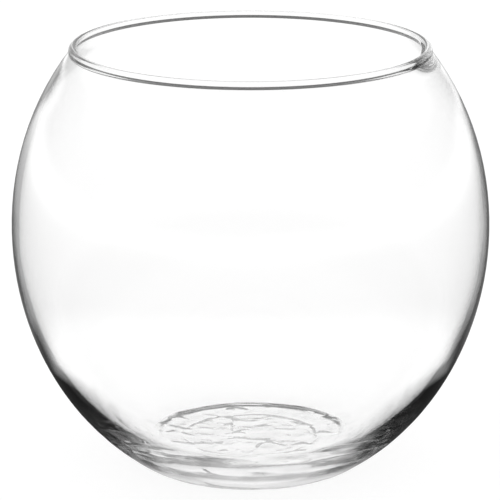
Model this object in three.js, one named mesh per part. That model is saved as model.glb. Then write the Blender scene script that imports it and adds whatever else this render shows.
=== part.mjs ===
// A clear glass ball vase, blown in one piece: a tall ball cut open at the mouth, with a
// fire-polished rim, a wall that thickens downwards and a heavy base on a flat bearing ring.
// Millimetres, +Z up, origin on the table under the centre of the foot.
import * as THREE from 'three';

// Outside form
const BALL_DIAMETER = 180; // across the belly
const BALL_HEIGHT = 205; // of the whole ball, before the mouth and the foot cut it
const FOOT_CUT = 11.5; // how much of the ball's lower end the foot takes off
const MOUTH_DIAMETER = 133.6; // across the outside of the wall at the mouth
const BEAD_DIAMETER = 2.7; // of the rim, melted round
const BEAD_LEAN = 0.5; // how far the bead sits outside the middle of the wall

// Foot
const FOOT_DIAMETER = 80; // across the outside of the flat ring that the vase stands on
const HEEL_RISE = 0.8; // height over which the wall turns under into that ring
const BEARING_WIDTH = 13.5; // of the ring
const PUSH_UP = 0.8; // depth of the hollow inside the ring
const PUSH_UP_RUN = 1.2; // how far in from the ring the hollow reaches its depth

// Glass thickness
const RIM_WALL = 1.6; // just under the bead
const WALL_GAIN = 1.8; // what the wall gains evenly from the rim down to the heel
const HEEL_GAIN = 3.5; // what it gains on top of that towards the heel
const HEEL_GAIN_POWER = 6; // the higher it is, the closer to the heel that second gain sets in
const FLOOR_HEIGHT = 4.8; // from the table to the flat floor inside
const FLOOR_DIAMETER = 61; // of the flat part of that floor
const FLOOR_BLEND = 2; // height over which the inside wall turns into the floor

// Facets
const ROUND_STEPS = 64; // around the axis
const UPPER_WALL_STEPS = 9;
const LOWER_WALL_STEPS = 11;
const BEAD_STEPS = 9;
const HEEL_STEPS = 3;
const PUSH_UP_STEPS = 3;
const FLOOR_BLEND_STEPS = 5;

const ballRadius = BALL_DIAMETER / 2;
const ballHalfHeight = BALL_HEIGHT / 2;
const bellyHeight = ballHalfHeight - FOOT_CUT;
const beadRadius = BEAD_DIAMETER / 2;
const quarterTurn = Math.PI / 2;

// The point of the ball's outline at an angle above the belly (below it if negative).
// Profiles lie in a plane through the axis: x is the radius, y the height.
function ballPoint(angle) {
  const height = bellyHeight + ballHalfHeight * Math.sin(angle);
  return new THREE.Vector2(ballRadius * Math.cos(angle), height);
}

// The direction out of the glass at that point.
function ballNormal(angle) {
  return new THREE.Vector2(Math.cos(angle) / ballRadius, Math.sin(angle) / ballHalfHeight).normalize();
}

// The angle at which the ball's outline has this height.
function ballAngle(height) {
  return Math.asin((height - bellyHeight) / ballHalfHeight);
}

const mouthAngle = Math.acos(MOUTH_DIAMETER / BALL_DIAMETER);
const heelAngle = ballAngle(HEEL_RISE);

// The wall thickens all the way from the rim to the heel, most of all just above the heel.
function wallThickness(angle) {
  const share = (mouthAngle - angle) / (mouthAngle - heelAngle);
  return RIM_WALL + WALL_GAIN * share + HEEL_GAIN * share ** HEEL_GAIN_POWER;
}

// The point of the inside wall that faces the ball's outline at an angle.
function insidePoint(angle) {
  return ballPoint(angle).addScaledVector(ballNormal(angle), -wallThickness(angle));
}

// The angle below the belly at which the inside wall has come down to a height, by halving.
function insideAngle(height) {
  let above = 0;
  let below = -quarterTurn;
  for (let halving = 0; halving < 50; halving += 1) {
    const middle = (above + below) / 2;
    if (insidePoint(middle).y > height) {
      above = middle;
    } else {
      below = middle;
    }
  }
  return above;
}

// Points at even steps from one angle to another, both ends included.
function sweep(from, to, steps, pointAt) {
  return Array.from({ length: steps + 1 }, (_, i) => pointAt(THREE.MathUtils.lerp(from, to, i / steps)));
}

// A curve that rolls from a wall, running down and in, into the level plane of its landing
// point, tangent to both.
function rollInto(landing, wallPoint, downWall) {
  const length = (landing.y - wallPoint.y) / downWall.y;
  const corner = wallPoint.clone().addScaledVector(downWall, length);
  return new THREE.QuadraticBezierCurve(wallPoint, corner, landing);
}

// From the axis, out across the hollow and the bearing ring, and up the heel.
function undersideProfile() {
  const downHeel = ballNormal(heelAngle).rotateAround(new THREE.Vector2(), -quarterTurn);
  const footEdge = new THREE.Vector2(FOOT_DIAMETER / 2, 0);
  const heel = rollInto(footEdge, ballPoint(heelAngle), downHeel).getPoints(HEEL_STEPS).reverse();
  const hollowRadius = footEdge.x - BEARING_WIDTH;
  const ceiling = new THREE.Vector2(hollowRadius - PUSH_UP_RUN, PUSH_UP);
  const shoulder = new THREE.Vector2(hollowRadius - PUSH_UP_RUN / 2, PUSH_UP);
  const ringInside = new THREE.Vector2(hollowRadius, 0);
  const hollow = new THREE.QuadraticBezierCurve(ceiling, shoulder, ringInside);
  return [new THREE.Vector2(0, PUSH_UP), ...hollow.getPoints(PUSH_UP_STEPS), ...heel];
}

// The rim bead leans out: it swells past the outer face of the wall that carries it, and is
// nearly flush with the inner face.
const rimOut = ballNormal(mouthAngle);
const rimUp = rimOut.clone().rotateAround(new THREE.Vector2(), quarterTurn);
const beadCentre = ballPoint(mouthAngle).addScaledVector(rimOut, BEAD_LEAN - RIM_WALL / 2);

// How far round below its centre the bead meets a face of the wall that is this far from it.
function creaseAngle(faceDistance) {
  return Math.acos(Math.min(1, faceDistance / beadRadius));
}

const outerCrease = creaseAngle(RIM_WALL / 2 - BEAD_LEAN);
const innerCrease = creaseAngle(RIM_WALL / 2 + BEAD_LEAN);

// The angle of the ball at which the wall ends in one of those creases.
function wallEndAngle(crease) {
  const drop = beadRadius * Math.sin(crease);
  return ballAngle(ballPoint(mouthAngle).addScaledVector(rimUp, -drop).y);
}

function beadPoint(angle) {
  const across = beadRadius * Math.cos(angle);
  const along = beadRadius * Math.sin(angle);
  return beadCentre.clone().addScaledVector(rimOut, across).addScaledVector(rimUp, along);
}

// Down the inside from the belly to the floor, and along the floor to the axis.
function lowerInsideProfile() {
  const blendAngle = insideAngle(FLOOR_HEIGHT + FLOOR_BLEND);
  const blendTop = insidePoint(blendAngle);
  const nearby = insidePoint(blendAngle - 1e-4);
  const floorEdge = new THREE.Vector2(FLOOR_DIAMETER / 2, FLOOR_HEIGHT);
  const blend = rollInto(floorEdge, blendTop, nearby.sub(blendTop).normalize());
  const wall = sweep(0, blendAngle, LOWER_WALL_STEPS, insidePoint).slice(1, -1);
  return [...wall, ...blend.getPoints(FLOOR_BLEND_STEPS), new THREE.Vector2(0, FLOOR_HEIGHT)];
}

// One outline of the glass, from the axis under the foot, up the outside, over the rim and
// down the inside to the axis again.
function glassProfile() {
  const outsideBelow = sweep(heelAngle, 0, LOWER_WALL_STEPS, ballPoint).slice(1);
  const outsideAbove = sweep(0, wallEndAngle(outerCrease), UPPER_WALL_STEPS, ballPoint).slice(1, -1);
  const bead = sweep(-outerCrease, Math.PI + innerCrease, BEAD_STEPS, beadPoint);
  const insideAbove = sweep(wallEndAngle(innerCrease), 0, UPPER_WALL_STEPS, insidePoint).slice(1);
  const outside = [...undersideProfile(), ...outsideBelow, ...outsideAbove];
  return [...outside, ...bead, ...insideAbove, ...lowerInsideProfile()];
}

const clearGlass = new THREE.MeshStandardMaterial({
  color: 0xf2f6f4,
  roughness: 0.03,
  metalness: 0,
  transparent: true,
  opacity: 0.25,
});

// The lathe turns about Y, so the finished bowl is stood up onto Z.
function glassBowl() {
  const turned = new THREE.LatheGeometry(glassProfile(), ROUND_STEPS).rotateX(quarterTurn);
  const bowl = new THREE.Mesh(turned, clearGlass);
  bowl.name = 'glass_bowl';
  return bowl;
}

const vase = new THREE.Group();
vase.name = 'glass_ball_vase';
vase.add(glassBowl());

export default vase;
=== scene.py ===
"""A clear blown-glass ball vase with an uneven wall, melted rim and wrinkled base, on a pale floor."""
import math

import bpy
import numpy as np
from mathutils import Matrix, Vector, noise


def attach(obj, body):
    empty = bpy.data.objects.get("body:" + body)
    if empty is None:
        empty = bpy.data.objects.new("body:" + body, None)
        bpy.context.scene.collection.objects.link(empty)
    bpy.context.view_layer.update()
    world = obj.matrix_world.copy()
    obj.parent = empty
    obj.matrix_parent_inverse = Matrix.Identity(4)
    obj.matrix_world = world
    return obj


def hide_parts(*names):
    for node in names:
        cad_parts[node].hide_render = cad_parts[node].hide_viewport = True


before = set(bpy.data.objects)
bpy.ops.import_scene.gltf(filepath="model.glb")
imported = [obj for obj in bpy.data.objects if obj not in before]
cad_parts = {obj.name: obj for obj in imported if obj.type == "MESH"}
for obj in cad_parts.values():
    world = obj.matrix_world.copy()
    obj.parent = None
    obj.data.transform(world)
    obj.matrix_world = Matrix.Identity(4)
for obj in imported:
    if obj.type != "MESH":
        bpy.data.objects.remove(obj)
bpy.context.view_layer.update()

# Outside form, in metres
BALL_RADIUS = 0.090
BALL_HALF_HEIGHT = 0.1025  # of the whole ball, before the mouth and the foot cut it
FOOT_CUT = 0.0115  # how much of the ball's lower end the foot takes off
MOUTH_RADIUS = 0.06695
SHOULDER = 0.0005  # how far the wall is drawn in at the mouth
SHOULDER_LOW = 0.105  # height at which the drawing in begins
BEAD_RADIUS = 0.00125  # of the rim, melted round; it stands out from the wall and is flush inside
BEAD_RISE = 0.0019  # height of its crown
BEAD_FILLET = 0.0010  # where it runs into the wall outside

# Foot
FOOT_RADIUS = 0.040  # of the ring that the vase stands on
HEEL_RISE = 0.0016  # height over which the wall turns under into that ring
BEARING_WIDTH = 0.0135  # of the ring
PUSH_UP = 0.0013  # depth of the hollow inside the ring
PUSH_UP_RUN = 0.0020  # how far in from the ring the hollow reaches its depth

# Glass thickness
RIM_WALL = 0.0014
WALL_GAIN = 0.0020  # evenly, from the rim down to the heel
HEEL_GAIN = 0.0035  # on top of that, towards the heel
HEEL_GAIN_POWER = 6.0
FLOOR_HEIGHT = 0.0048
FLOOR_RADIUS = 0.0305  # of the flat part of the floor inside
FLOOR_BLEND = 0.0020  # height over which the inside wall turns into that floor

# Wrinkles of the underside: how high, and how long from crest to crest
WRINKLE = 0.0006  # in the hollow
WRINKLE_LENGTH = 0.009
SWELL_SHARE = 0.6  # of the wrinkles that are soft swells; the rest are creases
CREASE_STRETCH = 1.4  # how much longer than the swells the creases are
WRINKLE_FADE = 0.004  # how far inside the hollow's edge the wrinkles begin to fade
WRINKLE_END = 0.0005  # and how far inside it they are gone
CHILL = 0.00005  # fine wrinkles, all over the underside
CHILL_LENGTH = 0.003
STROKE = 0.0010  # sparse, longer wrinkles, all over the underside
STROKE_LENGTH = 0.012
STROKE_WIDTH = 0.006
STROKE_LOW = 0.2  # levels of the noise from which a stroke rises, and at which it is full
STROKE_HIGH = 0.5
STILL_EDGE = 0.004  # width inside the foot's edge in which fine and long wrinkles die out

# Bearing ring and edge of the hollow
RING_LIFT = 0.0005  # how far the ring stands clear of the table inside its outer edge
RING_LIFT_LOW = 0.035
RING_LIFT_HIGH = 0.039
RING_WAVE = 0.0002
RING_WAVE_LENGTH = 0.010
RING_WAVE_BIAS = 0.2  # the higher it is, the less of the ring touches the table
RING_FADE = 0.002  # on either side of the hollow's edge
HOLLOW_OVAL = 0.0015  # how far the hollow's edge is pulled in at the front and the back
HOLLOW_WAVER = 0.0010
HOLLOW_WAVER_LENGTH = 0.45  # in radii of the hollow
HOLLOW_WAVER_FROM = 0.6  # share of the hollow's radius at which its edge begins to waver
HOLLOW_TILT = 0.42  # share of its depth that the hollow loses in the middle, and twice at the shallow side
DEEP_SIDE = (0.4, 0.9)  # it is deepest towards the back right

# Unevenness of the wall, and of the floor inside
FLOOR_WAVE = 0.0002
FLOOR_WAVE_LENGTH = 0.012
FLOOR_WAVE_FADE = 0.008  # width outside the flat floor in which the waves die out
SHEAR_PLACE = -0.0072  # where the mark of the shears crosses the floor, left of the middle
SHEAR_DEPTH = 0.0007
SHEAR_WIDTH = 0.0010
SHEAR_FRONT = -0.012  # where it begins, in front of the middle
SHEAR_FULL = 0.004  # where it reaches its depth, behind the middle
STREAK = 0.00035  # around the wall just above the heel
STREAK_HEIGHT = 0.0035
STREAK_LENGTH = 0.020
STREAK_WRAP = 2.0  # the larger it is, the more streaks lie around the wall
STREAK_TOP = 0.030  # above this the wall is free of streaks
STREAK_FADE = 0.015  # height from which they fade
STREAK_OUTSIDE = 0.5  # share of their height that they have on the outside
OUTSIDE_START = 0.002  # how far above the heel they are full
INSIDE_START = 0.004  # how far above the floor they are full
RIPPLE = 0.00003
RIPPLE_LENGTH = 0.020
WALL_LOW = 0.010  # the wall ripples and stands off centre between these heights
WALL_LOW_FULL = 0.025
WALL_HIGH_FULL = 0.140
WALL_HIGH = 0.155
OFF_CENTRE = 0.0003  # how far the inside stands to the right of the outside, at the belly
LEAN = 0.005  # how much more of that there is for each metre of height
FOLD = 0.0021  # a thicker place inside the rim on the right
FOLD_TURN = -0.12  # its place around the axis, in front of the right end
FOLD_SPREAD = 0.28
FOLD_LOW = 0.1530
FOLD_HIGH = 0.1585
FOLD_END = 0.001  # how far above the mouth it has died out

# Places in the noise, one for each unevenness, and how the noise is made up
SWELL_NOISE = 3.0
FLOOR_NOISE = 5.0
CREASE_NOISE = 11.0
RING_NOISE = 17.0
STROKE_NOISE = 23.0
RIPPLE_NOISE = 31.0
INSIDE_STREAK_NOISE = 41.0
WAVER_NOISE = 51.0
OUTSIDE_STREAK_NOISE = 61.0
CHILL_NOISE = 71.0
NOISE_APART = (1.0, 7.3, 1.7)
NOISE_FALL = 0.9
NOISE_FINER = 2.1

# Glass finish
INDEX = 1.52
ABSORB_GREY = 0.2  # light fades by the density times one minus this, per metre of glass
ABSORB_DENSITY = 1.5
SCUFF_HOLLOW = 0.26  # roughness of the underside, in the hollow and on the bearing ring
SCUFF_RING = 0.22
SCUFF_IN = 0.002  # how far inside the hollow's edge the one begins to go over into the other
SCUFF_OUT = 0.001  # and how far outside it that ends
SCUFF_LOW = 0.0005  # height up to which the glass is rough, and from which it is clear
SCUFF_HIGH = 0.007
SCUFF_PATCHES = 160.0  # how fine the scuffed patches are
PATCH_LOW = 0.35  # levels of the noise between and on the patches
PATCH_HIGH = 0.65
PATCH_LEAST = 0.6  # share of the roughness between the patches and on them
PATCH_MOST = 1.2

# Mesh fineness: columns around the axis, and rings along each stretch of the outline
COLUMNS = 288
HOLLOW_RINGS = 54
HOLLOW_EDGE_RINGS = 12
BEARING_RINGS = 28
HEEL_RINGS = 9
OUTER_WALL_RINGS = 52
BEAD_FLANK_RINGS = 9
BEAD_FILLET_RINGS = 10
BEAD_CROWN_RINGS = 25
UNDER_RIM_RINGS = 20
UNDER_RIM_TURN = 0.09  # angle below the mouth over which these lie
INNER_WALL_RINGS = 68
FLOOR_BLEND_RINGS = 18
FLOOR_RINGS = 42
CROWDING = 1.6  # how much closer the rings of the wall lie near its lower end

# Working values
HALVINGS = 50  # when an angle is searched for
SMALL_TURN = 1e-4  # between two points that give the slope of the wall
LEAST_RADIUS = 1e-6  # that anything is divided by on the axis

# Studio floor
FLOOR_HALF_SIZE = 8.0
FLOOR_DROP = 0.0003
FLOOR_GREY = 0.9  # of the paper, for the light that it throws back
FLOOR_GLOW = 0.9  # its own brightness where it is seen
FLOOR_SHADE = 0.16  # the part of its brightness that shadows take away
NEAR_PAINTED_FLOOR = 0.045  # brightness of the painted shade on the floor close by, seen mirrored in the glass
FAR_PAINTED_FLOOR = 0.5  # the same far off, mirrored inside the glass
OUTER_FAR_PAINTED_FLOOR = 0.2  # the same far off, mirrored in the outer face of the glass
NEAR_REACH = 0.10  # distances from the axis up to which the floor counts as close by
FAR_REACH = 0.19  # and from which it counts as far off
FADE_LOW = 0.3  # distances between which its mirror image turns white again
FADE_HIGH = 2.2
BESIDE_LOW = 0.034  # distances between which the white under the base ends
BESIDE_HIGH = 0.052
GLANCE_NEAR = 0.15  # least slant at which the mirror image is darker, close by and far off
GLANCE_FAR = 0.45
GLANCE_REACH_LOW = 0.08  # distances between which the one goes over into the other
GLANCE_REACH_HIGH = 0.12
GLANCE_SOFTNESS = 0.14

# Studio surround, with heights above the horizon in degrees
PAINTED_SHADE_ABOVE = 0.1  # brightness of the surround above the horizon, seen through the glass: painted shade, as to the eye it is white
PAINTED_SHADE_ABOVE_LOW = -1.0
PAINTED_SHADE_ABOVE_HIGH = 5.0
LOW_SKY_LOW = 13.0  # the low part of it ends between these heights
LOW_SKY_HIGH = 25.0
MIRRORED_PAINTED_SHADE_ABOVE = 0.05  # least share of its darkness in mirrored light
MIRRORED_THROUGH = 0.6  # share low down through three walls or more; through one it is all of it
OVERHEAD = 0.9  # how much of its darkness is gone overhead
OVERHEAD_LOW = 50.0
OVERHEAD_HIGH = 65.0
BOUNCES = 32  # of light, in all and through the glass
GLOSSY_BOUNCES = 14  # of those, by mirroring

# Camera
VIEW_DISTANCE = 1.08  # from the middle of the belly
VIEW_ELEVATION = math.radians(15.2)
AIM_HEIGHT = 0.0815  # of the point on the axis that the camera looks at
AIM_SIDE = -0.0002  # how far beside the axis it lies
SENSOR_WIDTH = 36.0
LENS = 205.7

BELLY_HEIGHT = BALL_HALF_HEIGHT - FOOT_CUT
HOLLOW_RADIUS = FOOT_RADIUS - BEARING_WIDTH
MOUTH_ANGLE = math.acos(MOUTH_RADIUS / BALL_RADIUS)
MOUTH_HEIGHT = BELLY_HEIGHT + BALL_HALF_HEIGHT * math.sin(MOUTH_ANGLE)
HEEL_ANGLE = math.asin((HEEL_RISE - BELLY_HEIGHT) / BALL_HALF_HEIGHT)


def ball_points(angles):
    """Points (radius, height) of the ball's outline at angles above the belly."""
    heights = BELLY_HEIGHT + BALL_HALF_HEIGHT * np.sin(angles)
    share = np.clip((heights - SHOULDER_LOW) / (MOUTH_HEIGHT - SHOULDER_LOW), 0, None)
    return np.stack([BALL_RADIUS * np.cos(angles) - SHOULDER * share ** 2, heights], axis=1)


def ball_normals(angles):
    """Unit directions out of the glass at those points."""
    normals = np.stack([np.cos(angles) / BALL_RADIUS, np.sin(angles) / BALL_HALF_HEIGHT], axis=1)
    return normals / np.linalg.norm(normals, axis=1, keepdims=True)


def inside_points(angles):
    """Points of the inside wall, which thickens from the rim to the heel."""
    share = (MOUTH_ANGLE - angles) / (MOUTH_ANGLE - HEEL_ANGLE)
    wall = RIM_WALL + WALL_GAIN * share + HEEL_GAIN * np.clip(share, 0, None) ** HEEL_GAIN_POWER
    return ball_points(angles) - wall[:, None] * ball_normals(angles)


def inside_angle(height):
    """The angle below the belly at which the inside wall has come down to a height, by halving."""
    above, below = 0.0, -math.pi / 2
    for _ in range(HALVINGS):
        middle = (above + below) / 2
        if inside_points(np.array([middle]))[0, 1] > height:
            above = middle
        else:
            below = middle
    return above


def bezier(start, control, end, count):
    share = np.linspace(0, 1, count)[:, None]
    start, control, end = (np.array(point) for point in (start, control, end))
    return (1 - share) ** 2 * start + 2 * share * (1 - share) * control + share ** 2 * end


def roll_into(landing, wall_point, down_wall, count):
    """A curve from a wall into the level plane of its landing point, tangent to both."""
    corner = wall_point + down_wall * (landing[1] - wall_point[1]) / down_wall[1]
    return bezier(wall_point, corner, landing, count)


def level(start, end, height, count):
    """Points straight across at one height."""
    return np.stack([np.linspace(start, end, count), np.full(count, height)], axis=1)


def underside():
    """From the axis across the hollow and the bearing ring, and up the heel."""
    ceiling_radius = HOLLOW_RADIUS - PUSH_UP_RUN
    ceiling = level(0, ceiling_radius, PUSH_UP, HOLLOW_RINGS)
    shoulder = (HOLLOW_RADIUS - PUSH_UP_RUN / 2, PUSH_UP)
    edge = bezier((ceiling_radius, PUSH_UP), shoulder, (HOLLOW_RADIUS, 0), HOLLOW_EDGE_RINGS)
    ring = level(HOLLOW_RADIUS, FOOT_RADIUS, 0, BEARING_RINGS)
    normal = ball_normals(np.array([HEEL_ANGLE]))[0]
    down_heel = np.array([normal[1], -normal[0]])
    heel_top = ball_points(np.array([HEEL_ANGLE]))[0]
    heel = roll_into((FOOT_RADIUS, 0), heel_top, down_heel, HEEL_RINGS)[::-1]
    return np.vstack([ceiling[:-1], edge[:-1], ring[:-1], heel])


def bead_crown(centre, out, up):
    """The round top of the rim bead, from its outer side to its inner side."""
    turn = np.linspace(0, math.pi, BEAD_CROWN_RINGS)[1:-1]
    return centre + np.outer(BEAD_RADIUS * np.cos(turn), out) + np.outer(BEAD_RISE * np.sin(turn), up)


def bead_flank(face):
    """The bead's outer side, down to where a fillet runs it into the wall at that last angle."""
    reach = BEAD_RADIUS + BEAD_FILLET
    end = math.sqrt(reach ** 2 - (face + BEAD_FILLET) ** 2)
    change = end * BEAD_RADIUS / reach
    round_depths = np.linspace(0, change, BEAD_FLANK_RINGS)[:-1]
    depths = np.concatenate([round_depths, np.linspace(change, end, BEAD_FILLET_RINGS)])
    round_part = np.sqrt(np.clip(BEAD_RADIUS ** 2 - depths ** 2, 0, None))
    fillet = np.sqrt(np.clip(BEAD_FILLET ** 2 - (depths - end) ** 2, 0, None))
    swell = np.where(depths < change, round_part, face + BEAD_FILLET - fillet) - face
    per_angle = math.hypot(BALL_RADIUS * math.sin(MOUTH_ANGLE), BALL_HALF_HEIGHT * math.cos(MOUTH_ANGLE))
    angles = MOUTH_ANGLE - depths / per_angle
    return angles[-1], ball_points(angles) + swell[:, None] * ball_normals(angles)


def rim():
    """The rim bead, from its run into the outside of the wall over its crown to the inside."""
    out = ball_normals(np.array([MOUTH_ANGLE]))[0]
    up = np.array([-out[1], out[0]])
    face = RIM_WALL - BEAD_RADIUS  # from the bead's centre to the outside of the wall
    centre = ball_points(np.array([MOUTH_ANGLE]))[0] - face * out
    outer_end, flank = bead_flank(face)
    return outer_end, np.vstack([flank[::-1], bead_crown(centre, out, up)])


def lower_inside():
    """From the inside wall at the floor's edge, round onto the floor and to the axis."""
    blend_angle = inside_angle(FLOOR_HEIGHT + FLOOR_BLEND)
    wall_point, nearby = inside_points(np.array([blend_angle, blend_angle - SMALL_TURN]))
    blend = roll_into((FLOOR_RADIUS, FLOOR_HEIGHT), wall_point, nearby - wall_point, FLOOR_BLEND_RINGS)
    return blend_angle, np.vstack([blend[:-1], level(FLOOR_RADIUS, 0, FLOOR_HEIGHT, FLOOR_RINGS)])


def closer(start, end, count):
    """Numbers from start to end that lie closer together near the start."""
    return start + (end - start) * np.linspace(0, 1, count) ** CROWDING


def glass_profile():
    """The glass's outline from the axis under the foot, over the rim, to the axis inside."""
    outer_end, rim_points = rim()
    blend_angle, floor_points = lower_inside()
    outer_wall = ball_points(closer(HEEL_ANGLE, outer_end, OUTER_WALL_RINGS))[1:-1]
    under_rim = MOUTH_ANGLE - UNDER_RIM_TURN
    upper_angles = np.linspace(MOUTH_ANGLE, under_rim, UNDER_RIM_RINGS)[:-1]
    lower_angles = closer(blend_angle, under_rim, INNER_WALL_RINGS)[::-1][:-1]
    inner_wall = inside_points(np.concatenate([upper_angles, lower_angles]))
    return np.vstack([underside(), outer_wall, rim_points, inner_wall, floor_points])


def lathe(profile):
    """Vertices and faces of the profile turned about Z; its first and last points lie on the axis."""
    turn = np.linspace(0, 2 * math.pi, COLUMNS, endpoint=False)
    around = np.stack([np.cos(turn), np.sin(turn)], axis=1)
    rings = profile[1:-1]
    count = len(rings)
    across = rings[:, None, :1] * around[None]
    heights = np.repeat(rings[:, None, 1:], COLUMNS, axis=1)
    ring_points = np.concatenate([across, heights], axis=2).reshape(-1, 3)
    vertices = np.vstack([ring_points, [[0, 0, profile[0, 1]], [0, 0, profile[-1, 1]]]])
    index = np.arange(count * COLUMNS).reshape(count, COLUMNS)
    ahead = np.roll(index, -1, axis=1)
    quads = np.stack([index[:-1], ahead[:-1], ahead[1:], index[1:]], axis=-1).reshape(-1, 4)
    under, floor = count * COLUMNS, count * COLUMNS + 1
    fans = [(under, int(b), int(a)) for a, b in zip(index[0], ahead[0])]
    fans += [(floor, int(a), int(b)) for a, b in zip(index[-1], ahead[-1])]
    return vertices, quads.tolist() + fans


def smooth(low, high, value):
    """A soft step from 0 to 1 as a value goes from low to high."""
    share = np.clip((value - low) / (high - low), 0, 1)
    return share * share * (3 - 2 * share)


def field(points, lengths, place, octaves=2):
    """Soft noise, about -1 to 1, at points scaled by a length or by one for each axis."""
    start = Vector([apart * place for apart in NOISE_APART])
    places = (Vector(point) + start for point in points / np.array(lengths))
    return np.array([noise.fractal(point, NOISE_FALL, NOISE_FINER, octaves) for point in places])


def around_axis(points):
    """Distance from the axis and turn around it."""
    return np.hypot(points[:, 0], points[:, 1]), np.arctan2(points[:, 1], points[:, 0])


def streaks(points, low, start, place):
    """Noise stretched around the axis, from a little above a height up to the end of the streaks."""
    turn = around_axis(points)[1]
    height = points[:, 2]
    wrap = STREAK_LENGTH * STREAK_WRAP
    wrapped = np.stack([wrap * np.cos(turn), wrap * np.sin(turn), height], axis=1)
    low_wall = smooth(low, low + start, height) * (1 - smooth(STREAK_FADE, STREAK_TOP, height))
    return STREAK * low_wall * field(wrapped, (STREAK_LENGTH, STREAK_LENGTH, STREAK_HEIGHT), place)


def waver_hollow(points):
    """An edge of the hollow that is not quite round, and a hollow deeper on one side."""
    radius, turn = around_axis(points)
    near_edge = smooth(HOLLOW_WAVER_FROM * HOLLOW_RADIUS, HOLLOW_RADIUS, radius)
    near_edge *= 1 - smooth(HOLLOW_RADIUS, FOOT_RADIUS, radius)
    circle = np.stack([np.cos(turn), np.sin(turn), 0 * turn], axis=1)
    waver = HOLLOW_WAVER * field(circle, HOLLOW_WAVER_LENGTH, WAVER_NOISE)
    pulled = near_edge * (HOLLOW_OVAL * (np.cos(2 * turn) - 1) / 2 + waver)
    moved = points.copy()
    moved[:, :2] *= (1 + pulled / np.maximum(radius, LEAST_RADIUS))[:, None]
    towards_deep = np.clip(points[:, :2] @ np.array(DEEP_SIDE) / HOLLOW_RADIUS, -1, 1)
    moved[:, 2] *= np.where(radius < HOLLOW_RADIUS, 1 - HOLLOW_TILT * (1 - towards_deep), 1)
    return moved


def wrinkle_underside(points):
    """Chill wrinkles in the hollow, and a bearing ring that is not quite flat."""
    radius = around_axis(points)[0]
    flat = points * [1, 1, 0]
    swells = field(flat, WRINKLE_LENGTH, SWELL_NOISE, octaves=3)
    creases = 1 - 2 * np.abs(field(flat, WRINKLE_LENGTH * CREASE_STRETCH, CREASE_NOISE))
    in_hollow = 1 - smooth(HOLLOW_RADIUS - WRINKLE_FADE, HOLLOW_RADIUS - WRINKLE_END, radius)
    wrinkles = WRINKLE * in_hollow * (SWELL_SHARE * swells + (1 - SWELL_SHARE) * creases)
    on_ring = smooth(HOLLOW_RADIUS - RING_FADE, HOLLOW_RADIUS + RING_FADE, radius)
    waves = RING_WAVE * np.clip(field(flat, RING_WAVE_LENGTH, RING_NOISE) + RING_WAVE_BIAS, 0, None)
    lift = RING_LIFT * (1 - smooth(RING_LIFT_LOW, RING_LIFT_HIGH, radius))
    inside_edge = 1 - smooth(FOOT_RADIUS - STILL_EDGE, FOOT_RADIUS, radius)
    stroke_noise = field(flat, (STROKE_LENGTH, STROKE_WIDTH, 1.0), STROKE_NOISE, octaves=1)
    strokes = STROKE * smooth(STROKE_LOW, STROKE_HIGH, stroke_noise)
    chill = CHILL * field(flat, CHILL_LENGTH, CHILL_NOISE)
    moved = waver_hollow(points)
    moved[:, 2] += wrinkles + on_ring * (waves + lift) + inside_edge * (strokes + chill)
    moved[:, 2] = np.maximum(moved[:, 2], 0)
    return moved


def streak_outside(points):
    """Faint streaks around the wall just above the heel."""
    out = points * [1, 1, 0] / around_axis(points)[0][:, None]
    height = STREAK_OUTSIDE * streaks(points, HEEL_RISE, OUTSIDE_START, OUTSIDE_STREAK_NOISE)
    return points + out * height[:, None]


def wave_floor(points):
    """Heights of the waves in the floor, with the mark of the shears cut across it."""
    waves = FLOOR_WAVE * field(points * [-1, 1, 0], FLOOR_WAVE_LENGTH, FLOOR_NOISE)
    beside = np.abs(points[:, 0] - SHEAR_PLACE) / (SHEAR_WIDTH / 2)
    mark = SHEAR_DEPTH * np.clip(1 - beside, 0, None) * smooth(SHEAR_FRONT, SHEAR_FULL, points[:, 1])
    on_floor = 1 - smooth(FLOOR_RADIUS, FLOOR_RADIUS + FLOOR_WAVE_FADE, around_axis(points)[0])
    return (waves - mark) * on_floor * (points[:, 2] < STREAK_TOP)


def rim_fold(height, turn):
    """Thickness of the thicker place inside the rim."""
    upright = smooth(FOLD_LOW, FOLD_HIGH, height) * (1 - smooth(FOLD_HIGH, MOUTH_HEIGHT + FOLD_END, height))
    return FOLD * upright * np.exp(-((turn - FOLD_TURN) / FOLD_SPREAD) ** 2)


def ripple_inside(points):
    """A wavy floor, a wall that streaks, ripples and stands off centre, and a fold under the rim."""
    radius, turn = around_axis(points)
    height = points[:, 2]
    out = points * [1, 1, 0] / np.maximum(radius, LEAST_RADIUS)[:, None]
    on_wall = smooth(WALL_LOW, WALL_LOW_FULL, height) * (1 - smooth(WALL_HIGH_FULL, WALL_HIGH, height))
    ripples = RIPPLE * on_wall * field(points, RIPPLE_LENGTH, RIPPLE_NOISE)
    bands = streaks(points, FLOOR_HEIGHT, INSIDE_START, INSIDE_STREAK_NOISE)
    moved = points + out * (bands + ripples - rim_fold(height, turn))[:, None]
    moved[:, 0] += (OFF_CENTRE + LEAN * (height - BELLY_HEIGHT)) * on_wall
    moved[:, 2] += wave_floor(points)
    return moved


def blown_glass_bowl():
    profile = glass_profile()
    vertices, faces = lathe(profile)
    ring = np.arange(len(profile) - 2)
    under = np.append(np.repeat(ring < len(underside()) - 1, COLUMNS), [True, False])
    inside = np.append(np.repeat(ring > np.argmax(profile[1:-1, 1]), COLUMNS), [False, True])
    outside = ~under & ~inside & (vertices[:, 2] < STREAK_TOP)
    vertices[under] = wrinkle_underside(vertices[under])
    vertices[outside] = streak_outside(vertices[outside])
    vertices[inside] = ripple_inside(vertices[inside])
    mesh = bpy.data.meshes.new("blown_glass_bowl")
    mesh.from_pydata(vertices.tolist(), [], faces)
    mesh.polygons.foreach_set("use_smooth", [True] * len(mesh.polygons))
    mesh.update()
    bowl = bpy.data.objects.new("blown_glass_bowl", mesh)
    bpy.context.scene.collection.objects.link(bowl)
    return bowl


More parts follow.
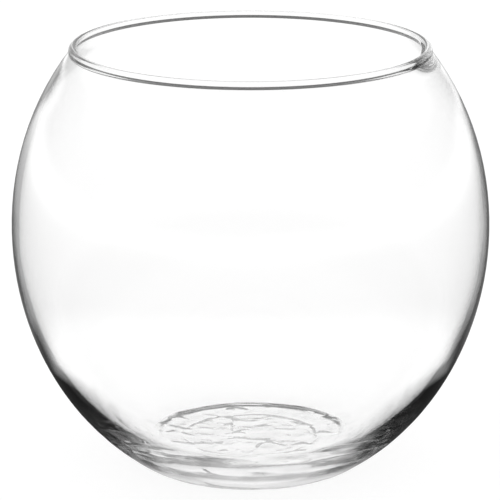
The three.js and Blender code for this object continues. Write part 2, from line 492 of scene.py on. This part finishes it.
def set_or_link(tree, socket, value):
    if isinstance(value, bpy.types.NodeSocket):
        tree.links.new(value, socket)
    else:
        socket.default_value = value


def math_node(tree, operation, first, second=0.0):
    node = tree.nodes.new("ShaderNodeMath")
    node.operation = operation
    set_or_link(tree, node.inputs[0], first)
    set_or_link(tree, node.inputs[1], second)
    return node.outputs[0]


def product(tree, first, *others):
    for other in others:
        first = math_node(tree, "MULTIPLY", first, other)
    return first


def ease(tree, value, low, high, at_low, at_high):
    """A soft step from one number to another as a value goes from low to high."""
    node = tree.nodes.new("ShaderNodeMapRange")
    node.interpolation_type = "SMOOTHSTEP"
    set_or_link(tree, node.inputs["Value"], value)
    set_or_link(tree, node.inputs["From Min"], low)
    set_or_link(tree, node.inputs["From Max"], high)
    set_or_link(tree, node.inputs["To Min"], at_low)
    set_or_link(tree, node.inputs["To Max"], at_high)
    return node.outputs["Result"]


def taken_apart(tree, vector):
    """The X, Y and Z of a vector."""
    node = tree.nodes.new("ShaderNodeSeparateXYZ")
    tree.links.new(vector, node.inputs[0])
    return node.outputs


def scuffs(tree, place):
    """Roughness of the underside: patchy, a little more in the hollow than on the bearing ring."""
    across = taken_apart(tree, place)
    squares = [product(tree, across[axis], across[axis]) for axis in "XY"]
    radius = math_node(tree, "SQRT", math_node(tree, "ADD", *squares))
    by_radius = ease(
        tree, radius, HOLLOW_RADIUS - SCUFF_IN, HOLLOW_RADIUS + SCUFF_OUT, SCUFF_HOLLOW, SCUFF_RING)
    patches = tree.nodes.new("ShaderNodeTexNoise")
    patches.inputs["Scale"].default_value = SCUFF_PATCHES
    tree.links.new(place, patches.inputs["Vector"])
    patchy = ease(tree, patches.outputs["Fac"], PATCH_LOW, PATCH_HIGH, PATCH_LEAST, PATCH_MOST)
    low_down = ease(tree, across["Z"], SCUFF_LOW, SCUFF_HIGH, 1.0, 0.0)
    return product(tree, by_radius, patchy, low_down)


def clear_glass():
    """Colourless glass that swallows a little light along its length, scuffed where it stands."""
    material = bpy.data.materials.new("clear_glass")
    material.use_nodes = True
    tree = material.node_tree
    shader = tree.nodes["Principled BSDF"]
    shader.inputs["Base Color"].default_value = (1, 1, 1, 1)
    shader.inputs["IOR"].default_value = INDEX
    shader.inputs["Transmission Weight"].default_value = 1.0
    place = tree.nodes.new("ShaderNodeTexCoord").outputs["Object"]
    tree.links.new(scuffs(tree, place), shader.inputs["Roughness"])
    absorb = tree.nodes.new("ShaderNodeVolumeAbsorption")
    absorb.inputs["Color"].default_value = (ABSORB_GREY, ABSORB_GREY, ABSORB_GREY, 1)
    absorb.inputs["Density"].default_value = ABSORB_DENSITY
    tree.links.new(absorb.outputs["Volume"], tree.nodes["Material Output"].inputs["Volume"])
    return material


def studio_camera():
    data = bpy.data.cameras.new("photo_camera")
    data.sensor_width = SENSOR_WIDTH
    data.lens = LENS
    camera = bpy.data.objects.new("photo_camera", data)
    bpy.context.scene.collection.objects.link(camera)
    belly = Vector((0, 0, BELLY_HEIGHT))
    towards_viewer = Vector((0, -math.cos(VIEW_ELEVATION), math.sin(VIEW_ELEVATION)))
    camera.location = belly + VIEW_DISTANCE * towards_viewer
    aim = Vector((AIM_SIDE, 0, AIM_HEIGHT))
    camera.rotation_euler = (aim - camera.location).to_track_quat("-Z", "Y").to_euler()
    bpy.context.scene.camera = camera


def light_path(tree):
    return tree.nodes.new("ShaderNodeLightPath").outputs


def ever_mirrored(tree, path):
    """1 for light that was mirrored on its way, at a face of the glass or inside it."""
    return math_node(tree, "MINIMUM", path["Glossy Depth"], 1.0)


def walls_at_most(tree, path, count):
    """1 for light that went through no more walls of glass than this, into each and out again."""
    faces = 2 * count
    return math_node(tree, "LESS_THAN", path["Transmission Depth"], faces + 1.0)


def mix_shader(tree, share, first, second):
    node = tree.nodes.new("ShaderNodeMixShader")
    tree.links.new(share, node.inputs[0])
    tree.links.new(first, node.inputs[1])
    tree.links.new(second, node.inputs[2])
    return node.outputs[0]


def matte(tree, grey):
    node = tree.nodes.new("ShaderNodeBsdfDiffuse")
    node.inputs["Color"].default_value = (grey, grey, grey, 1)
    return node.outputs[0]


def glow(tree, strength):
    node = tree.nodes.new("ShaderNodeEmission")
    node.inputs["Strength"].default_value = strength
    return node.outputs[0]


def distance_from_origin(tree):
    node = tree.nodes.new("ShaderNodeVectorMath")
    node.operation = "LENGTH"
    tree.links.new(tree.nodes.new("ShaderNodeNewGeometry").outputs["Position"], node.inputs[0])
    return node.outputs["Value"]


def painted_floor_shade(tree, path):
    """Painted shade on the floor, seen only in the glass's glancing mirror images: darkest close by, and
    white far away.
    """
    reach = distance_from_origin(tree)
    outer_face = product(tree, walls_at_most(tree, path, 0), FAR_PAINTED_FLOOR - OUTER_FAR_PAINTED_FLOOR)
    far_off = math_node(tree, "ADD", outer_face, 1.0 - FAR_PAINTED_FLOOR)
    by_reach = ease(tree, reach, NEAR_REACH, FAR_REACH, 1.0 - NEAR_PAINTED_FLOOR, far_off)
    beside_base = ease(tree, reach, BESIDE_LOW, BESIDE_HIGH, 0.0, 1.0)
    fade = ease(tree, reach, FADE_LOW, FADE_HIGH, 1.0, 0.0)
    slant = tree.nodes.new("ShaderNodeLayerWeight").outputs["Facing"]
    limit = ease(tree, reach, GLANCE_REACH_LOW, GLANCE_REACH_HIGH, GLANCE_NEAR, GLANCE_FAR)
    glancing = ease(tree, math_node(tree, "SUBTRACT", slant, limit), 0.0, GLANCE_SOFTNESS, 0.0, 1.0)
    mirrored = product(tree, ever_mirrored(tree, path), walls_at_most(tree, path, 1))
    return product(tree, by_reach, beside_base, fade, glancing, mirrored)


def paper_with_painted_shade():
    """White paper that keeps the vase's shadow, with painted shade where the glass mirrors it at a glance.
    """
    material = bpy.data.materials.new("paper_with_painted_shade")
    material.use_nodes = True
    tree = material.node_tree
    tree.nodes.clear()
    white = tree.nodes.new("ShaderNodeAddShader")
    tree.links.new(matte(tree, FLOOR_SHADE), white.inputs[0])
    tree.links.new(glow(tree, FLOOR_GLOW), white.inputs[1])
    path = light_path(tree)
    # painted shade: the floor turns dark only where the glass mirrors it
    look = mix_shader(tree, painted_floor_shade(tree, path), white.outputs[0], glow(tree, 0.0))
    by_glass = math_node(tree, "MAXIMUM", path["Is Glossy Ray"], path["Is Transmission Ray"])
    seen = math_node(tree, "MAXIMUM", path["Is Camera Ray"], by_glass)
    out = tree.nodes.new("ShaderNodeOutputMaterial")
    tree.links.new(mix_shader(tree, seen, matte(tree, FLOOR_GREY), look), out.inputs["Surface"])
    return material


def studio_floor():
    mesh = bpy.data.meshes.new("studio_floor")
    half = FLOOR_HALF_SIZE
    corners = [(-half, -half, 0), (half, -half, 0), (half, half, 0), (-half, half, 0)]
    mesh.from_pydata(corners, [], [(0, 1, 2, 3)])
    mesh.materials.append(paper_with_painted_shade())
    floor = bpy.data.objects.new("studio_floor", mesh)
    floor.location.z = -FLOOR_DROP
    bpy.context.scene.collection.objects.link(floor)


def ease_up(tree, up, low, high, at_low, at_high):
    """A soft step between two heights above the horizon, given in degrees."""
    low, high = (math.sin(math.radians(angle)) for angle in (low, high))
    return ease(tree, up, low, high, at_low, at_high)


def share_of_painted_shade_above(tree, path, up):
    """How much of the painted shade above the horizon light sees, by how it came through the glass."""
    low_sky = ease_up(tree, up, LOW_SKY_LOW, LOW_SKY_HIGH, 1.0, 0.0)
    three_walls = math_node(tree, "SUBTRACT", 1.0, walls_at_most(tree, path, 2))
    three_walls = product(tree, three_walls, MIRRORED_THROUGH)
    mirrored = math_node(tree, "ADD", walls_at_most(tree, path, 1), three_walls)
    mirrored = math_node(tree, "MAXIMUM", product(tree, mirrored, low_sky), MIRRORED_PAINTED_SHADE_ABOVE)
    mirrored = product(tree, mirrored, ever_mirrored(tree, path))
    straight = math_node(tree, "SUBTRACT", 1.0, ever_mirrored(tree, path))
    straight = product(tree, straight, walls_at_most(tree, path, 2))
    return math_node(tree, "ADD", mirrored, straight)


def studio_world():
    """An even white surround; seen through the glass its upper part carries painted shade, except straight
    overhead.
    """
    world = bpy.data.worlds.new("studio")
    bpy.context.scene.world = world
    world.use_nodes = True
    tree = world.node_tree
    background = tree.nodes["Background"]
    background.inputs["Color"].default_value = (1, 1, 1, 1)
    path = light_path(tree)
    up = taken_apart(tree, tree.nodes.new("ShaderNodeTexCoord").outputs["Generated"])["Z"]
    darker = ease_up(tree, up, PAINTED_SHADE_ABOVE_LOW, PAINTED_SHADE_ABOVE_HIGH, 0.0, 1.0 - PAINTED_SHADE_ABOVE)
    except_overhead = ease_up(tree, up, OVERHEAD_LOW, OVERHEAD_HIGH, 1.0, 1.0 - OVERHEAD)
    share = product(tree, share_of_painted_shade_above(tree, path, up), path["Is Transmission Ray"])
    # painted shade: the surround above the horizon is dark only through the glass
    shade = product(tree, darker, except_overhead, share)
    tree.links.new(math_node(tree, "SUBTRACT", 1.0, shade), background.inputs["Strength"])


bowl = blown_glass_bowl()
bowl.data.materials.append(clear_glass())
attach(bowl, "root")
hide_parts("glass_bowl")
studio_camera()
studio_floor()
studio_world()

scene = bpy.context.scene
scene.view_settings.view_transform = "Standard"
scene.cycles.max_bounces = BOUNCES
scene.cycles.transmission_bounces = BOUNCES
scene.cycles.glossy_bounces = GLOSSY_BOUNCES
